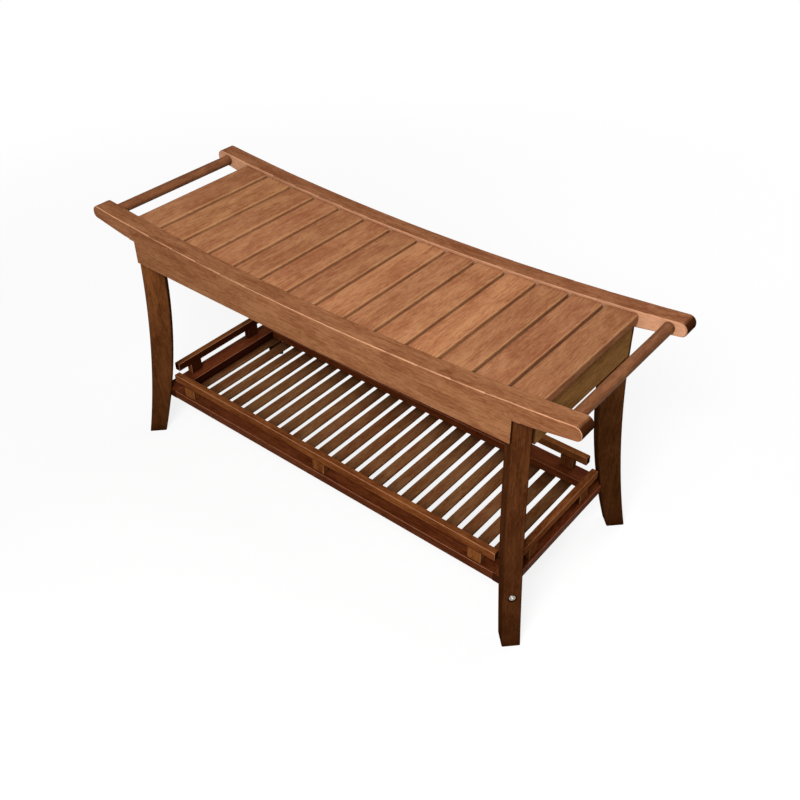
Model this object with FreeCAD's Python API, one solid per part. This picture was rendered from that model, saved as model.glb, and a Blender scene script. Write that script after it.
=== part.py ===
import FreeCAD, Part
import math
import os

# Spa bench of oiled hardwood: a dished seat of slats between two curved rails, four sabre legs
# set at 45 degrees, and a slatted shelf with a low gallery round it. Sizes are in millimetres.
# +X runs along the bench, -Y is the front, +Z is up. The origin is on the floor under the middle.

# Seat curve and rails
bench_length = 914.0            # from nose to nose of a rail
seat_mid_height = 408.8         # top of the rails at the middle of the bench
seat_rise = 23.7                # how far the noses lie above the middle
rail_spread = 306.0             # over the outer faces of the two rails
rail_width = 30.0
rail_height = 27.0
rail_ease = 2.0                 # rounding along the edges of a rail
taper_length = 72.0             # end stretch where a rail thins towards its nose
nose_height = 21.5
nose_top_round = 11.0
nose_bottom_round = 8.5

# Handles
handle_diameter = 17.2
handle_inset = 26.0             # from the nose to the handle's axis
handle_drop = 11.3              # from the top of the rail to the handle's axis
handle_socket = 12.0            # depth of the blind hole in the rail

# Seat slats and the cleats under them
slat_count = 14
slat_gap = 5.0
slat_thickness = 13.5
slat_drop = 4.0                 # slats lie this far below the rail tops
slat_round = 3.5                # rounding of the upper long edges
slat_ease = 1.0                 # rounding of the lower long edges
slat_overhang = 5.2             # end slat beyond the face of the end apron
cleat_width = 17.0

# Aprons
apron_thickness = 18.0
apron_mid_height = 27.1         # front and rear apron at mid length
apron_end_height = 39.1         # front and rear apron beside the legs
apron_ease = 1.5
end_apron_height = 59.5
end_apron_thickness = 13.0

# Legs
leg_inset = 84.5                # from the nose to the leg's outer face at the top, without the lean
leg_setback = 15.5              # from the rail's outer face to the same place
leg_kick = 40.0                 # how far the foot stands out from the top, along the diagonal
leg_mid_kick = 8.9              # the same at half height
leg_lean = 3.3                  # how far the top lies towards mid bench, across the diagonal
leg_foot_thickness = 29.5
leg_mid_thickness = 37.2
leg_top_thickness = 34.0
leg_foot_width = 27.6
leg_top_width = 27.2
leg_ease = 2.0

# Corner blocks, hanger bolts, washers and nuts at the tops of the legs
block_depth = 24.0
block_height = 28.0
block_drop = 2.0                # block's top below the underside of the rails
hanger_diameter = 8.0
hanger_in_leg = 22.0
hanger_tail = 4.0               # thread that stands out of the nut
washer_diameter = 20.0
washer_thickness = 1.6
nut_width = 13.0
nut_height = 6.5

# Shelf frame
shelf_frame_height = 78.2       # underside of the shelf bars above the floor
bar_width = 31.0
bar_thickness = 15.5
bar_ease = 1.5
shelf_lap_x = 9.4               # bars beyond the middle of the leg's inner face, along X
shelf_lap_y = 8.4               # the same along Y

# Gallery on the shelf frame
gallery_long_inset = 31.9       # from the corner of the frame to the end of a front or rear rail
gallery_end_inset = 27.5        # the same for a left or right rail
gallery_long_setback = 3.0      # front and rear gallery rail behind the face of the bar
gallery_end_setback = 4.0       # left and right gallery rail behind the face of the bar
gallery_thickness = 11.5
gallery_height = 15.0
gallery_ease = 1.6
post_height = 20.7
post_width = 24.0
post_ease = 0.8
long_post_inset = 35.2          # from the end of a front or rear rail to the middle of its end post
end_post_inset = 39.0           # the same for a left or right rail

# Shelf slats and the bearers that carry them
shelf_slat_count = 24
shelf_slat_gap = 10.6
shelf_slat_thickness = 5.5
shelf_slat_ease = 1.2
shelf_slat_end_inset = 14.0     # slat's end behind the face of the long bar
shelf_side_inset = 19.5         # outermost slat behind the face of the end bar
bearer_width = 12.0
bearer_height = 5.8
bearer_setback = 11.0           # bearer behind the face of its bar

# Bolts and barrel nuts that hold the shelf frame between the legs
bolt_diameter = 6.0
bolt_head_diameter = 10.2
bolt_head_height = 2.4
bolt_head_round = 0.8
bolt_socket_width = 4.0         # across the flats of the hexagon socket
bolt_socket_depth = 1.8
counterbore_diameter = 13.0
counterbore_depth = 2.6         # at the middle of the leg's sloping face
barrel_diameter = 10.0
barrel_inset = 16.0             # from the leg's inner face to the barrel nut's axis
barrel_cover = 2.0              # wood left above the barrel nut
bolt_tail = 8.0                 # bolt beyond the barrel nut's axis

# Dowel pins and screws
pin_diameter = 6.0
pin_length = 20.0
shelf_pin_setback = 7.0         # pin behind the face of the long bar
screw_diameter = 3.5
screw_head_diameter = 7.0
screw_head_height = 2.4
screw_tip = 4.0
screw_sink = 0.3                # head below the face that it is driven into
seat_screw_length = 20.0
cleat_screw_length = 32.0
bearer_screw_length = 18.0
shelf_screw_length = 10.5
gallery_screw_length = 46.0

# Fits
seat_clearance = 0.2            # slats over cleats and between rails
hole_clearance = 0.1            # round a pin, bolt or screw, on the radius
overrun = 20.0                  # cutting tools and oversize blanks

# Places along a length, as shares of its half
apron_pin_shares = (-0.75, -0.25, 0.25, 0.75)
end_bearer_screw_shares = (-0.5, 0.5)
# Screws that hold cleats and long bearers, as shares of the row of slats; each goes under a gap
cleat_screw_shares = (1 / 7, 1 / 2, 6 / 7)
bearer_screw_shares = (1 / 6, 1 / 3, 1 / 2, 2 / 3, 5 / 6)

V = FreeCAD.Vector
UP = V(0, 0, 1)
DIAGONAL = math.sqrt(0.5)
SIDES = {"front": -1, "rear": 1}
ENDS = {"left": -1, "right": 1}
CORNERS = [(end, side) for end in ENDS for side in SIDES]

# Seat curve: an arc through both noses and the middle of the rail tops
half_length = bench_length / 2
seat_radius = (half_length ** 2 + seat_rise ** 2) / (2 * seat_rise)
seat_centre = seat_mid_height + seat_radius


def seat_level(x, drop):
    """Height at x of the curve that lies drop below the rail tops."""
    return seat_centre - math.sqrt((seat_radius + drop) ** 2 - x ** 2)


# Rails, legs and aprons
rail_outer = rail_spread / 2
rail_inner = rail_outer - rail_width
cleat_inner = rail_inner - cleat_width
cleat_top = slat_drop + slat_thickness + seat_clearance
fixing_drop = (cleat_top + rail_height) / 2
leg_x = half_length - leg_inset
leg_y = rail_outer - leg_setback
leg_top = seat_level(leg_x, rail_height)
leg_corner = leg_top_width / 2 * DIAGONAL
leg_top_x = leg_x - leg_lean * DIAGONAL
foot_x = leg_x + leg_kick * DIAGONAL
foot_y = leg_y + leg_kick * DIAGONAL
apron_half = leg_top_x - leg_corner
apron_inner = rail_outer - apron_thickness
end_apron_face = leg_top_x + leg_corner
end_apron_inner = end_apron_face - end_apron_thickness
handle_x = half_length - handle_inset
handle_z = seat_level(handle_x, handle_drop)

# Seat slats
seat_half = end_apron_face + slat_overhang
slat_pitch = (2 * seat_half + slat_gap) / slat_count
slat_width = slat_pitch - slat_gap
slat_places = [(i - (slat_count - 1) / 2) * slat_pitch for i in range(slat_count)]
seat_screw_y = rail_inner - cleat_width / 2


def bow(foot, middle, top):
    """Outward offset by height of the arc through offsets at a leg's foot, middle and top."""
    arc = Part.Arc(V(foot, 0, 0), V(middle, 0, leg_top / 2), V(top, 0, leg_top))
    circle = arc.toShape().Curve
    return lambda z: circle.Center.x - math.sqrt(circle.Radius ** 2 - (z - circle.Center.z) ** 2)


leg_outside = bow(0, leg_mid_kick - leg_kick, -leg_kick)
leg_inside = bow(
    -leg_foot_thickness,
    leg_mid_kick - leg_kick - leg_mid_thickness,
    -leg_kick - leg_top_thickness,
)

# Shelf frame, gallery and slats
bar_top = shelf_frame_height + bar_thickness
bolt_z = shelf_frame_height + bar_thickness / 2
shelf_x = foot_x + leg_inside(bolt_z) * DIAGONAL + shelf_lap_x
shelf_y = foot_y + leg_inside(bolt_z) * DIAGONAL + shelf_lap_y
gallery_bottom = bar_top + post_height
gallery_y = shelf_y - gallery_long_setback - gallery_thickness / 2
gallery_x = shelf_x - gallery_end_setback - gallery_thickness / 2
gallery_half_length = shelf_x - gallery_long_inset
gallery_half_depth = shelf_y - gallery_end_inset
shelf_top = shelf_frame_height - bearer_height
shelf_half = shelf_x - shelf_side_inset
shelf_pitch = (2 * shelf_half + shelf_slat_gap) / shelf_slat_count
shelf_slat_width = shelf_pitch - shelf_slat_gap
shelf_places = [(i - (shelf_slat_count - 1) / 2) * shelf_pitch for i in range(shelf_slat_count)]
shelf_slat_half = shelf_y - shelf_slat_end_inset
bearer_y = shelf_y - bearer_setback - bearer_width / 2
bearer_x = shelf_x - bearer_setback - bearer_width / 2
end_bearer_half = bearer_y - bearer_width / 2

# Corner blocks: their outer face is the inner face of the leg, and they end at the aprons
block_reach = foot_x + foot_y + (leg_inside(leg_top) - block_depth) / DIAGONAL - apron_inner
block_top = seat_level(block_reach, rail_height) - block_drop
hanger_z = block_top - block_height / 2
hanger_face = leg_inside(hanger_z)


def line(start, end):
    """Straight edge."""
    return Part.LineSegment(start, end).toShape()


def seat_arc(x0, x1, drop):
    """Edge along the seat curve, drop below the rail tops, from x0 to x1."""
    points = [V(x, 0, seat_level(x, drop)) for x in (x0, (x0 + x1) / 2, x1)]
    return Part.Arc(*points).toShape()


def prism(edges, y0, y1):
    """Solid between y0 and y1 from a closed outline of edges in the XZ plane."""
    face = Part.Face(Part.Wire(edges))
    face.translate(V(0, y0, 0))
    return face.extrude(V(0, y1 - y0, 0))


def curved_bar(x0, x1, top_drop, bottom_drop, y0, y1):
    """Bar along the seat curve between two depths below the rail tops."""
    top = seat_arc(x0, x1, top_drop)
    bottom = seat_arc(x1, x0, bottom_drop)
    right = line(V(x1, 0, seat_level(x1, top_drop)), V(x1, 0, seat_level(x1, bottom_drop)))
    left = line(V(x0, 0, seat_level(x0, bottom_drop)), V(x0, 0, seat_level(x0, top_drop)))
    return prism([top, right, bottom, left], y0, y1)


def eased(shape, radius, chosen):
    """Shape with the edges that pass the test rounded."""
    return shape.makeFillet(radius, [edge for edge in shape.Edges if chosen(edge)])


def runs_along(axis):
    """Test for straight edges parallel to an axis, given as 0, 1 or 2."""
    def test(edge):
        ends = edge.Vertexes
        return len(ends) == 2 and all(
            math.isclose(ends[0].Point[i], ends[1].Point[i], abs_tol=seat_clearance)
            for i in range(len(UP)) if i != axis
        )
    return test


def block(x0, x1, y0, y1, z0, z1):
    """Box between two corners."""
    return Part.makeBox(x1 - x0, y1 - y0, z1 - z0, V(x0, y0, z0))


def rod(base, direction, length, diameter, grow=0):
    """Cylinder; grow widens it into the hole that takes it."""
    return Part.makeCylinder(diameter / 2 + grow, length, base, direction)


def screw(base, direction, length, grow=0):
    """Countersunk screw driven from base; grow widens it into the hole that takes it."""
    head = screw_head_diameter / 2 + grow
    shank = screw_diameter / 2 + grow
    seat = base + direction * screw_sink
    neck = seat + direction * screw_head_height
    tip = seat + direction * (length - screw_tip)
    body = Part.makeCone(head, shank, screw_head_height, seat, direction)
    body = body.fuse(Part.makeCylinder(shank, length - screw_tip - screw_head_height, neck, direction))
    body = body.fuse(Part.makeCone(shank, 0, screw_tip + grow, tip, direction))
    if grow:
        body = body.fuse(Part.makeCylinder(head, screw_sink, base, direction))
    return body.removeSplitter()


def hexagon(width, height, base, direction):
    """Six-sided prism, width across its flats."""
    radius = width / math.sqrt(3)
    turns = [math.radians(60 * i) for i in range(7)]
    outline = Part.makePolygon([V(radius * math.cos(t), radius * math.sin(t), 0) for t in turns])
    solid = Part.Face(outline).extrude(UP * height)
    solid.Placement = FreeCAD.Placement(base, FreeCAD.Rotation(UP, direction))
    return solid


def outward(end, side):
    """Direction along a leg's diagonal, away from the bench."""
    return V(ENDS[end] * DIAGONAL, SIDES[side] * DIAGONAL, 0)


def on_leg(end, side, offset, z):
    """Point on a leg's middle plane, offset along the diagonal from the foot's outer face."""
    foot = V(ENDS[end] * foot_x, SIDES[side] * foot_y, z)
    across = V(-ENDS[end] * DIAGONAL, SIDES[side] * DIAGONAL, 0)
    return foot + outward(end, side) * offset + across * (leg_lean * z / leg_top)


# Fasteners and the holes that take them

def apron_pins(side, grow=0):
    """Pins that join a rail to its apron."""
    y = SIDES[side] * (rail_outer - apron_thickness / 2)
    places = [share * apron_half for share in apron_pin_shares]
    bases = [V(x, y, seat_level(x, rail_height) - pin_length / 2 - grow) for x in places]
    return [rod(base, UP, pin_length + 2 * grow, pin_diameter, grow) for base in bases]


def end_apron_pins(end, grow=0):
    """Pins that join an end apron to both rails."""
    x = ENDS[end] * (end_apron_face - end_apron_thickness / 2)
    z = seat_level(x, fixing_drop)
    bases = [V(x, sign * rail_inner - pin_length / 2 - grow, z) for sign in SIDES.values()]
    return [rod(base, V(0, 1, 0), pin_length + 2 * grow, pin_diameter, grow) for base in bases]


def shelf_pins(grow=0):
    """Pins that join the bars of the shelf frame at its corners."""
    pins = []
    for end, side in CORNERS:
        x = ENDS[end] * (shelf_x - bar_width) - pin_length / 2 - grow
        y = SIDES[side] * (shelf_y - shelf_pin_setback)
        pins.append(rod(V(x, y, bolt_z), V(1, 0, 0), pin_length + 2 * grow, pin_diameter, grow))
    return pins


def seat_screws(side, grow=0):
    """Screws up through a cleat, one into each slat."""
    y = SIDES[side] * seat_screw_y
    bases = [V(x, y, seat_level(x, rail_height)) for x in slat_places]
    return [screw(base, UP, seat_screw_length, grow) for base in bases]


def cleat_screws(side, grow=0):
    """Screws through a cleat into its rail."""
    y = SIDES[side] * cleat_inner
    gaps = [round(share * slat_count) for share in cleat_screw_shares]
    places = [slat_places[gap] - slat_pitch / 2 for gap in gaps]
    bases = [V(x, y, seat_level(x, fixing_drop)) for x in places]
    return [screw(base, V(0, SIDES[side], 0), cleat_screw_length, grow) for base in bases]


def bearer_screws(side, grow=0):
    """Screws up through a bearer into its shelf bar."""
    gaps = [round(share * shelf_slat_count) for share in bearer_screw_shares]
    places = [shelf_places[gap] - shelf_pitch / 2 for gap in gaps]
    bases = [V(x, SIDES[side] * bearer_y, shelf_top) for x in places]
    return [screw(base, UP, bearer_screw_length, grow) for base in bases]


def end_bearer_screws(end, grow=0):
    """Screws up through an end bearer into its shelf bar."""
    places = [share * end_bearer_half for share in end_bearer_screw_shares]
    bases = [V(ENDS[end] * bearer_x, y, shelf_top) for y in places]
    return [screw(base, UP, bearer_screw_length, grow) for base in bases]


def shelf_screws(side, grow=0):
    """Screws up through the shelf slats into a bearer."""
    z = shelf_top - shelf_slat_thickness
    bases = [V(x, SIDES[side] * bearer_y, z) for x in shelf_places]
    return [screw(base, UP, shelf_screw_length, grow) for base in bases]


def long_post_places(side):
    """Middles of the posts on the front or rear bar."""
    reach = gallery_half_length - long_post_inset
    return [V(x, SIDES[side] * gallery_y, bar_top) for x in (-reach, 0, reach)]


def end_post_places(end):
    """Middles of the posts on the left or right bar."""
    reach = gallery_half_depth - end_post_inset
    return [V(ENDS[end] * gallery_x, y, bar_top) for y in (-reach, reach)]


def gallery_screws(places, grow=0):
    """Screws up through a shelf bar and the posts into a gallery rail."""
    bases = [V(place.x, place.y, shelf_frame_height) for place in places]
    return [screw(base, UP, gallery_screw_length, grow) for base in bases]


def hanger_bolt(end, side, grow=0):
    """Stud fixed in the top of a leg, through the corner block to its nut."""
    start = hanger_face + hanger_in_leg + grow
    stack = block_depth + washer_thickness + nut_height + hanger_tail
    base = on_leg(end, side, start, hanger_z)
    return rod(base, -outward(end, side), hanger_in_leg + grow + stack, hanger_diameter, grow)


def shelf_bolt(end, side, grow=0):
    """Bolt from a leg's outer face into a corner of the shelf frame."""
    seat = leg_outside(bolt_z) - counterbore_depth
    length = seat - leg_inside(bolt_z) + barrel_inset + bolt_tail + grow
    return rod(on_leg(end, side, seat, bolt_z), -outward(end, side), length, bolt_diameter, grow)


def bolt_head(end, side):
    """Rounded flat head with a hexagon socket."""
    seat = on_leg(end, side, leg_outside(bolt_z) - counterbore_depth, bolt_z)
    out = outward(end, side)
    head = rod(seat, out, bolt_head_height, bolt_head_diameter)
    rim = seat + out * bolt_head_height
    head = eased(head, bolt_head_round, lambda edge: edge.CenterOfMass.isEqual(rim, seat_clearance))
    floor = seat + out * (bolt_head_height - bolt_socket_depth)
    return head.cut(hexagon(bolt_socket_width, bolt_socket_depth, floor, out))


def barrel_nut(end, side, grow=0):
    """Upright barrel nut in a corner of the shelf frame."""
    place = on_leg(end, side, leg_inside(bolt_z) - barrel_inset, shelf_frame_height)
    return rod(place, UP, bar_thickness - barrel_cover + grow, barrel_diameter, grow)


# Seat frame

def rail(side):
    """Curved rail: plain between the legs, with eased, tapered and rounded ends."""
    outer = SIDES[side] * rail_outer
    inner = SIDES[side] * rail_inner
    y0 = min(outer, inner)
    y1 = max(outer, inner)

    def on_top(edge):
        middle = edge.CenterOfMass
        return edge.Length > leg_x and middle.z > seat_level(0, rail_height / 2)

    shape = curved_bar(-leg_x, leg_x, 0, rail_height, y0, y1)
    shape = eased(shape, rail_ease, on_top)
    for sign in ENDS.values():
        shape = shape.fuse(rail_end(sign, y0, y1))
    shape = shape.removeSplitter()
    for sign in ENDS.values():
        mouth = V(sign * handle_x, inner, handle_z)
        socket = rod(mouth, V(0, SIDES[side], 0), handle_socket, handle_diameter, hole_clearance)
        shape = shape.cut(socket)
    pins = apron_pins(side, hole_clearance)
    for end in ENDS:
        pins += end_apron_pins(end, hole_clearance)
    return shape.cut(pins + cleat_screws(side, hole_clearance))


def rail_end(sign, y0, y1):
    """End of a rail, from the middle of the leg to the nose."""
    start = sign * leg_x
    thin = sign * (half_length - taper_length)
    nose = sign * half_length
    nose_top = V(nose, 0, seat_level(nose, 0))
    nose_bottom = V(nose, 0, seat_level(nose, nose_height))
    taper = V(thin, 0, seat_level(thin, rail_height))
    outline = [
        seat_arc(start, nose, 0),
        line(nose_top, nose_bottom),
        line(nose_bottom, taper),
        seat_arc(thin, start, rail_height),
        line(V(start, 0, seat_level(start, rail_height)), V(start, 0, seat_level(start, 0))),
    ]
    shape = prism(outline, y0, y1)
    across = runs_along(1)

    def at(corner):
        return lambda edge: across(edge) and edge.CenterOfMass.isEqual(
            V(corner.x, (y0 + y1) / 2, corner.z), seat_clearance)

    shape = eased(shape, nose_top_round, at(nose_top))
    shape = eased(shape, nose_bottom_round, at(nose_bottom))

    def on_side(edge):
        middle = edge.CenterOfMass
        at_side = min(abs(middle.y - y0), abs(middle.y - y1)) < seat_clearance
        return at_side and abs(middle.x - start) > seat_clearance

    return eased(shape, rail_ease, on_side)


def handle(end):
    """Round bar between the two rails."""
    base = V(ENDS[end] * handle_x, -rail_inner - handle_socket, handle_z)
    return rod(base, V(0, 1, 0), 2 * (rail_inner + handle_socket), handle_diameter)


def leg(end, side):
    """Sabre leg: an arched outline from the side, tapered from the front, turned 45 degrees."""
    blank_top = leg_top + overrun
    heights = (0, blank_top / 2, blank_top)
    outside = [V(leg_outside(z), 0, z) for z in heights]
    inside = [V(leg_inside(z), 0, z) for z in heights]
    outline = [
        Part.Arc(*outside).toShape(),
        line(outside[-1], inside[-1]),
        Part.Arc(*reversed(inside)).toShape(),
        line(inside[0], outside[0]),
    ]
    reach = leg_foot_width + leg_top_width + leg_lean
    shape = prism(outline, -reach, reach)
    foot = leg_foot_width / 2
    top = foot + (leg_top_width - leg_foot_width) / 2 * blank_top / leg_top
    lean = ENDS[end] * SIDES[side] * leg_lean * blank_top / leg_top
    back = leg_inside(blank_top) - overrun
    corners = [(-foot, 0), (foot, 0), (lean + top, blank_top), (lean - top, blank_top)]
    corners = [V(back, y, z) for y, z in corners]
    taper = Part.Face(Part.makePolygon(corners + corners[:1])).extrude(V(overrun - back, 0, 0))
    shape = shape.common(taper)
    shape = eased(shape, leg_ease, lambda edge: edge.Length > leg_top)
    turn = math.degrees(math.atan2(SIDES[side], ENDS[end]))
    shape.rotate(V(0, 0, 0), UP, turn)
    shape.translate(V(ENDS[end] * foot_x, SIDES[side] * foot_y, 0))
    above = curved_bar(-half_length, half_length, -overrun, rail_height, -rail_spread, rail_spread)
    seat = on_leg(end, side, leg_outside(bolt_z) - counterbore_depth, bolt_z)
    recess = rod(seat, outward(end, side), overrun, counterbore_diameter)
    holes = [recess, shelf_bolt(end, side, hole_clearance), hanger_bolt(end, side, hole_clearance)]
    return shape.cut([above] + holes)


def apron(side, legs):
    """Front or rear apron, flush with the rail's face and mitred to the legs."""
    outer = SIDES[side] * rail_outer
    inner = SIDES[side] * apron_inner
    end_z = seat_level(apron_half, rail_height) - apron_end_height
    mid_z = seat_level(0, rail_height) - apron_mid_height
    outline = [
        seat_arc(-apron_half, apron_half, rail_height),
        line(V(apron_half, 0, seat_level(apron_half, rail_height)), V(apron_half, 0, end_z)),
        Part.Arc(V(apron_half, 0, end_z), V(0, 0, mid_z), V(-apron_half, 0, end_z)).toShape(),
        line(V(-apron_half, 0, end_z), V(-apron_half, 0, seat_level(apron_half, rail_height))),
    ]
    shape = prism(outline, min(outer, inner), max(outer, inner))

    def at_bottom(edge):
        middle = edge.CenterOfMass
        return edge.Length > apron_half and middle.z < seat_level(0, rail_height) - apron_mid_height / 2

    shape = eased(shape, apron_ease, at_bottom)
    bolts = [hanger_bolt(end, side, hole_clearance) for end in ENDS]
    return shape.cut(legs + bolts + apron_pins(side, hole_clearance))


def end_apron(end, legs):
    """Left or right apron between the rails, under the end slat."""
    sign = ENDS[end]
    x0, x1 = sorted((sign * end_apron_face, sign * end_apron_inner))
    shape = curved_bar(x0, x1, cleat_top, cleat_top + end_apron_height, -rail_inner, rail_inner)
    return shape.cut(legs + end_apron_pins(end, hole_clearance))


def seat_slat(x, screws):
    """Seat slat with rounded edges, tilted to follow the seat curve."""
    half_width = slat_width / 2
    half_span = rail_inner - seat_clearance
    shape = block(-half_width, half_width, -half_span, half_span, -slat_thickness, 0)
    along = runs_along(1)
    upper = slat_ease / 2
    lower = slat_thickness - slat_ease / 2
    shape = eased(shape, slat_round, lambda edge: along(edge) and edge.CenterOfMass.z > -upper)
    shape = eased(shape, slat_ease, lambda edge: along(edge) and edge.CenterOfMass.z < -lower)
    shape.rotate(V(0, 0, 0), V(0, 1, 0), -math.degrees(math.asin(x / (seat_radius + slat_drop))))
    shape.translate(V(x, 0, seat_level(x, slat_drop)))
    return shape.cut(screws)


def cleat(side):
    """Curved cleat on the inner face of a rail, under the slats."""
    y0, y1 = sorted((SIDES[side] * rail_inner, SIDES[side] * cleat_inner))
    shape = curved_bar(-end_apron_inner, end_apron_inner, cleat_top, rail_height, y0, y1)
    return shape.cut(seat_screws(side, hole_clearance) + cleat_screws(side, hole_clearance))


def corner_block(end, side, legs):
    """Block across a corner of the seat frame, against the inner face of the leg."""
    bottom = block_top - block_height
    back = hanger_face - block_depth
    shape = block(back, leg_inside(bottom), -rail_spread, rail_spread, bottom, block_top)
    shape.rotate(V(0, 0, 0), UP, math.degrees(math.atan2(SIDES[side], ENDS[end])))
    shape.translate(V(ENDS[end] * foot_x, SIDES[side] * foot_y, 0))
    x0, x1 = sorted((0, ENDS[end] * end_apron_inner))
    y0, y1 = sorted((0, SIDES[side] * apron_inner))
    shape = shape.common(block(x0, x1, y0, y1, bottom, block_top))
    return shape.cut(legs + [hanger_bolt(end, side, hole_clearance)])


def washer(end, side):
    """Flat washer on the inner face of a corner block."""
    face = on_leg(end, side, hanger_face - block_depth, hanger_z)
    disc = rod(face, -outward(end, side), washer_thickness, washer_diameter)
    return disc.cut(hanger_bolt(end, side, hole_clearance))


def nut(end, side):
    """Hexagon nut on a hanger bolt."""
    face = on_leg(end, side, hanger_face - block_depth - washer_thickness, hanger_z)
    solid = hexagon(nut_width, nut_height, face, -outward(end, side))
    return solid.cut(hanger_bolt(end, side, hole_clearance))


# Shelf

def long_bar(side):
    """Front or rear bar of the shelf frame, laid flat between the end bars."""
    y0, y1 = sorted((SIDES[side] * shelf_y, SIDES[side] * (shelf_y - bar_width)))
    half = shelf_x - bar_width
    shape = block(-half, half, y0, y1, shelf_frame_height, bar_top)
    shape = eased(shape, bar_ease, runs_along(0))
    holes = shelf_pins(hole_clearance) + bearer_screws(side, hole_clearance)
    return shape.cut(holes + gallery_screws(long_post_places(side), hole_clearance))


def end_bar(end, legs):
    """Left or right bar of the shelf frame, over the full depth, with its corners at the legs."""
    x0, x1 = sorted((ENDS[end] * shelf_x, ENDS[end] * (shelf_x - bar_width)))
    shape = block(x0, x1, -shelf_y, shelf_y, shelf_frame_height, bar_top)
    shape = eased(shape, bar_ease, runs_along(1))
    holes = shelf_pins(hole_clearance) + gallery_screws(end_post_places(end), hole_clearance)
    holes += end_bearer_screws(end, hole_clearance)
    for side in SIDES:
        holes.append(shelf_bolt(end, side, hole_clearance))
        holes.append(barrel_nut(end, side, hole_clearance))
    return shape.cut(legs + holes)


def gallery_rail(x0, x1, y0, y1, screws):
    """Rail along the top of the gallery posts, with every edge eased."""
    shape = block(x0, x1, y0, y1, gallery_bottom, gallery_bottom + gallery_height)
    return shape.makeFillet(gallery_ease, shape.Edges).cut(screws)


def post(place, width_x, width_y, screws):
    """Short post between a shelf bar and a gallery rail."""
    x0 = place.x - width_x / 2
    y0 = place.y - width_y / 2
    shape = block(x0, x0 + width_x, y0, y0 + width_y, bar_top, gallery_bottom)
    return eased(shape, post_ease, runs_along(2)).cut(screws)


def bearer(side):
    """Strip under a long bar that the shelf slats are screwed to."""
    middle = SIDES[side] * bearer_y
    y0 = middle - bearer_width / 2
    shape = block(-shelf_half, shelf_half, y0, y0 + bearer_width, shelf_top, shelf_frame_height)
    return shape.cut(bearer_screws(side, hole_clearance) + shelf_screws(side, hole_clearance))


def end_bearer(end):
    """Strip under an end bar, between the two long bearers."""
    x0 = ENDS[end] * bearer_x - bearer_width / 2
    half = end_bearer_half
    shape = block(x0, x0 + bearer_width, -half, half, shelf_top, shelf_frame_height)
    return shape.cut(end_bearer_screws(end, hole_clearance))


def shelf_slat(x, screws):
    """Shelf slat across the bearers."""
    half_width = shelf_slat_width / 2
    bottom = shelf_top - shelf_slat_thickness
    shape = block(x - half_width, x + half_width, -shelf_slat_half, shelf_slat_half, bottom, shelf_top)
    return eased(shape, shelf_slat_ease, runs_along(1)).cut(screws)


def save(node, *pieces):
    """Write one node: a single solid, or a group of separate solids."""
    solids = [solid for piece in pieces for solid in piece.Solids]
    shape = solids[0] if len(solids) == 1 else Part.makeCompound(solids)
    shape.exportStep("parts/" + node + ".step")


os.makedirs("parts", exist_ok=True)

legs = {corner: leg(*corner) for corner in CORNERS}
all_legs = list(legs.values())
seat_holes = seat_screws("front", hole_clearance) + seat_screws("rear", hole_clearance)
shelf_holes = shelf_screws("front", hole_clearance) + shelf_screws("rear", hole_clearance)

for (end, side), shape in legs.items():
    save(side + "_" + end + "_leg", shape)

for side in SIDES:
    save(side + "_rail", rail(side))
    save(side + "_apron", apron(side, all_legs))
    save(side + "_slat_cleat", cleat(side))
    save(side + "_seat_screws", *seat_screws(side))
    save(side + "_shelf_bar", long_bar(side))
    save(side + "_shelf_bearer", bearer(side))
    places = long_post_places(side)
    holes = gallery_screws(places, hole_clearance)
    y0 = SIDES[side] * gallery_y - gallery_thickness / 2
    reach = gallery_half_length
    save(side + "_gallery_rail", gallery_rail(-reach, reach, y0, y0 + gallery_thickness, holes))
    save(side + "_gallery_posts", *[post(p, post_width, gallery_thickness, holes) for p in places])

for end in ENDS:
    save(end + "_handle", handle(end))
    save(end + "_end_apron", end_apron(end, all_legs))
    save(end + "_shelf_bar", end_bar(end, all_legs))
    places = end_post_places(end)
    holes = gallery_screws(places, hole_clearance)
    x0 = ENDS[end] * gallery_x - gallery_thickness / 2
    reach = gallery_half_depth
    save(end + "_gallery_rail", gallery_rail(x0, x0 + gallery_thickness, -reach, reach, holes))
    save(end + "_gallery_posts", *[post(p, gallery_thickness, post_width, holes) for p in places])

for i, x in enumerate(slat_places):
    save("seat_slat_%02d" % (i + 1), seat_slat(x, seat_holes))

save("end_shelf_bearers", *[end_bearer(end) for end in ENDS])
save("shelf_slats", *[shelf_slat(x, shelf_holes) for x in shelf_places])
save("seat_corner_blocks", *[corner_block(end, side, all_legs) for end, side in CORNERS])
save("hanger_bolts", *[hanger_bolt(end, side) for end, side in CORNERS])
save("hanger_washers", *[washer(end, side) for end, side in CORNERS])
save("hanger_nuts", *[nut(end, side) for end, side in CORNERS])
bolts = [bolt_head(*corner).fuse(shelf_bolt(*corner)).removeSplitter() for corner in CORNERS]
save("shelf_bolts", *bolts)
bolt_holes = [shelf_bolt(*corner, hole_clearance) for corner in CORNERS]
save("shelf_barrel_nuts", *[barrel_nut(*corner).cut(bolt_holes) for corner in CORNERS])
save("apron_pins", *[pin for side in SIDES for pin in apron_pins(side)])
save("end_apron_pins", *[pin for end in ENDS for pin in end_apron_pins(end)])
save("shelf_frame_pins", *shelf_pins())
save("cleat_screws", *[piece for side in SIDES for piece in cleat_screws(side)])
all_screws = [piece for side in SIDES for piece in bearer_screws(side)]
all_screws += [piece for end in ENDS for piece in end_bearer_screws(end)]
save("bearer_screws", *all_screws)
save("shelf_slat_screws", *[piece for side in SIDES for piece in shelf_screws(side)])
all_posts = [place for side in SIDES for place in long_post_places(side)]
all_posts += [place for end in ENDS for place in end_post_places(end)]
save("gallery_screws", *gallery_screws(all_posts))
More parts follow.
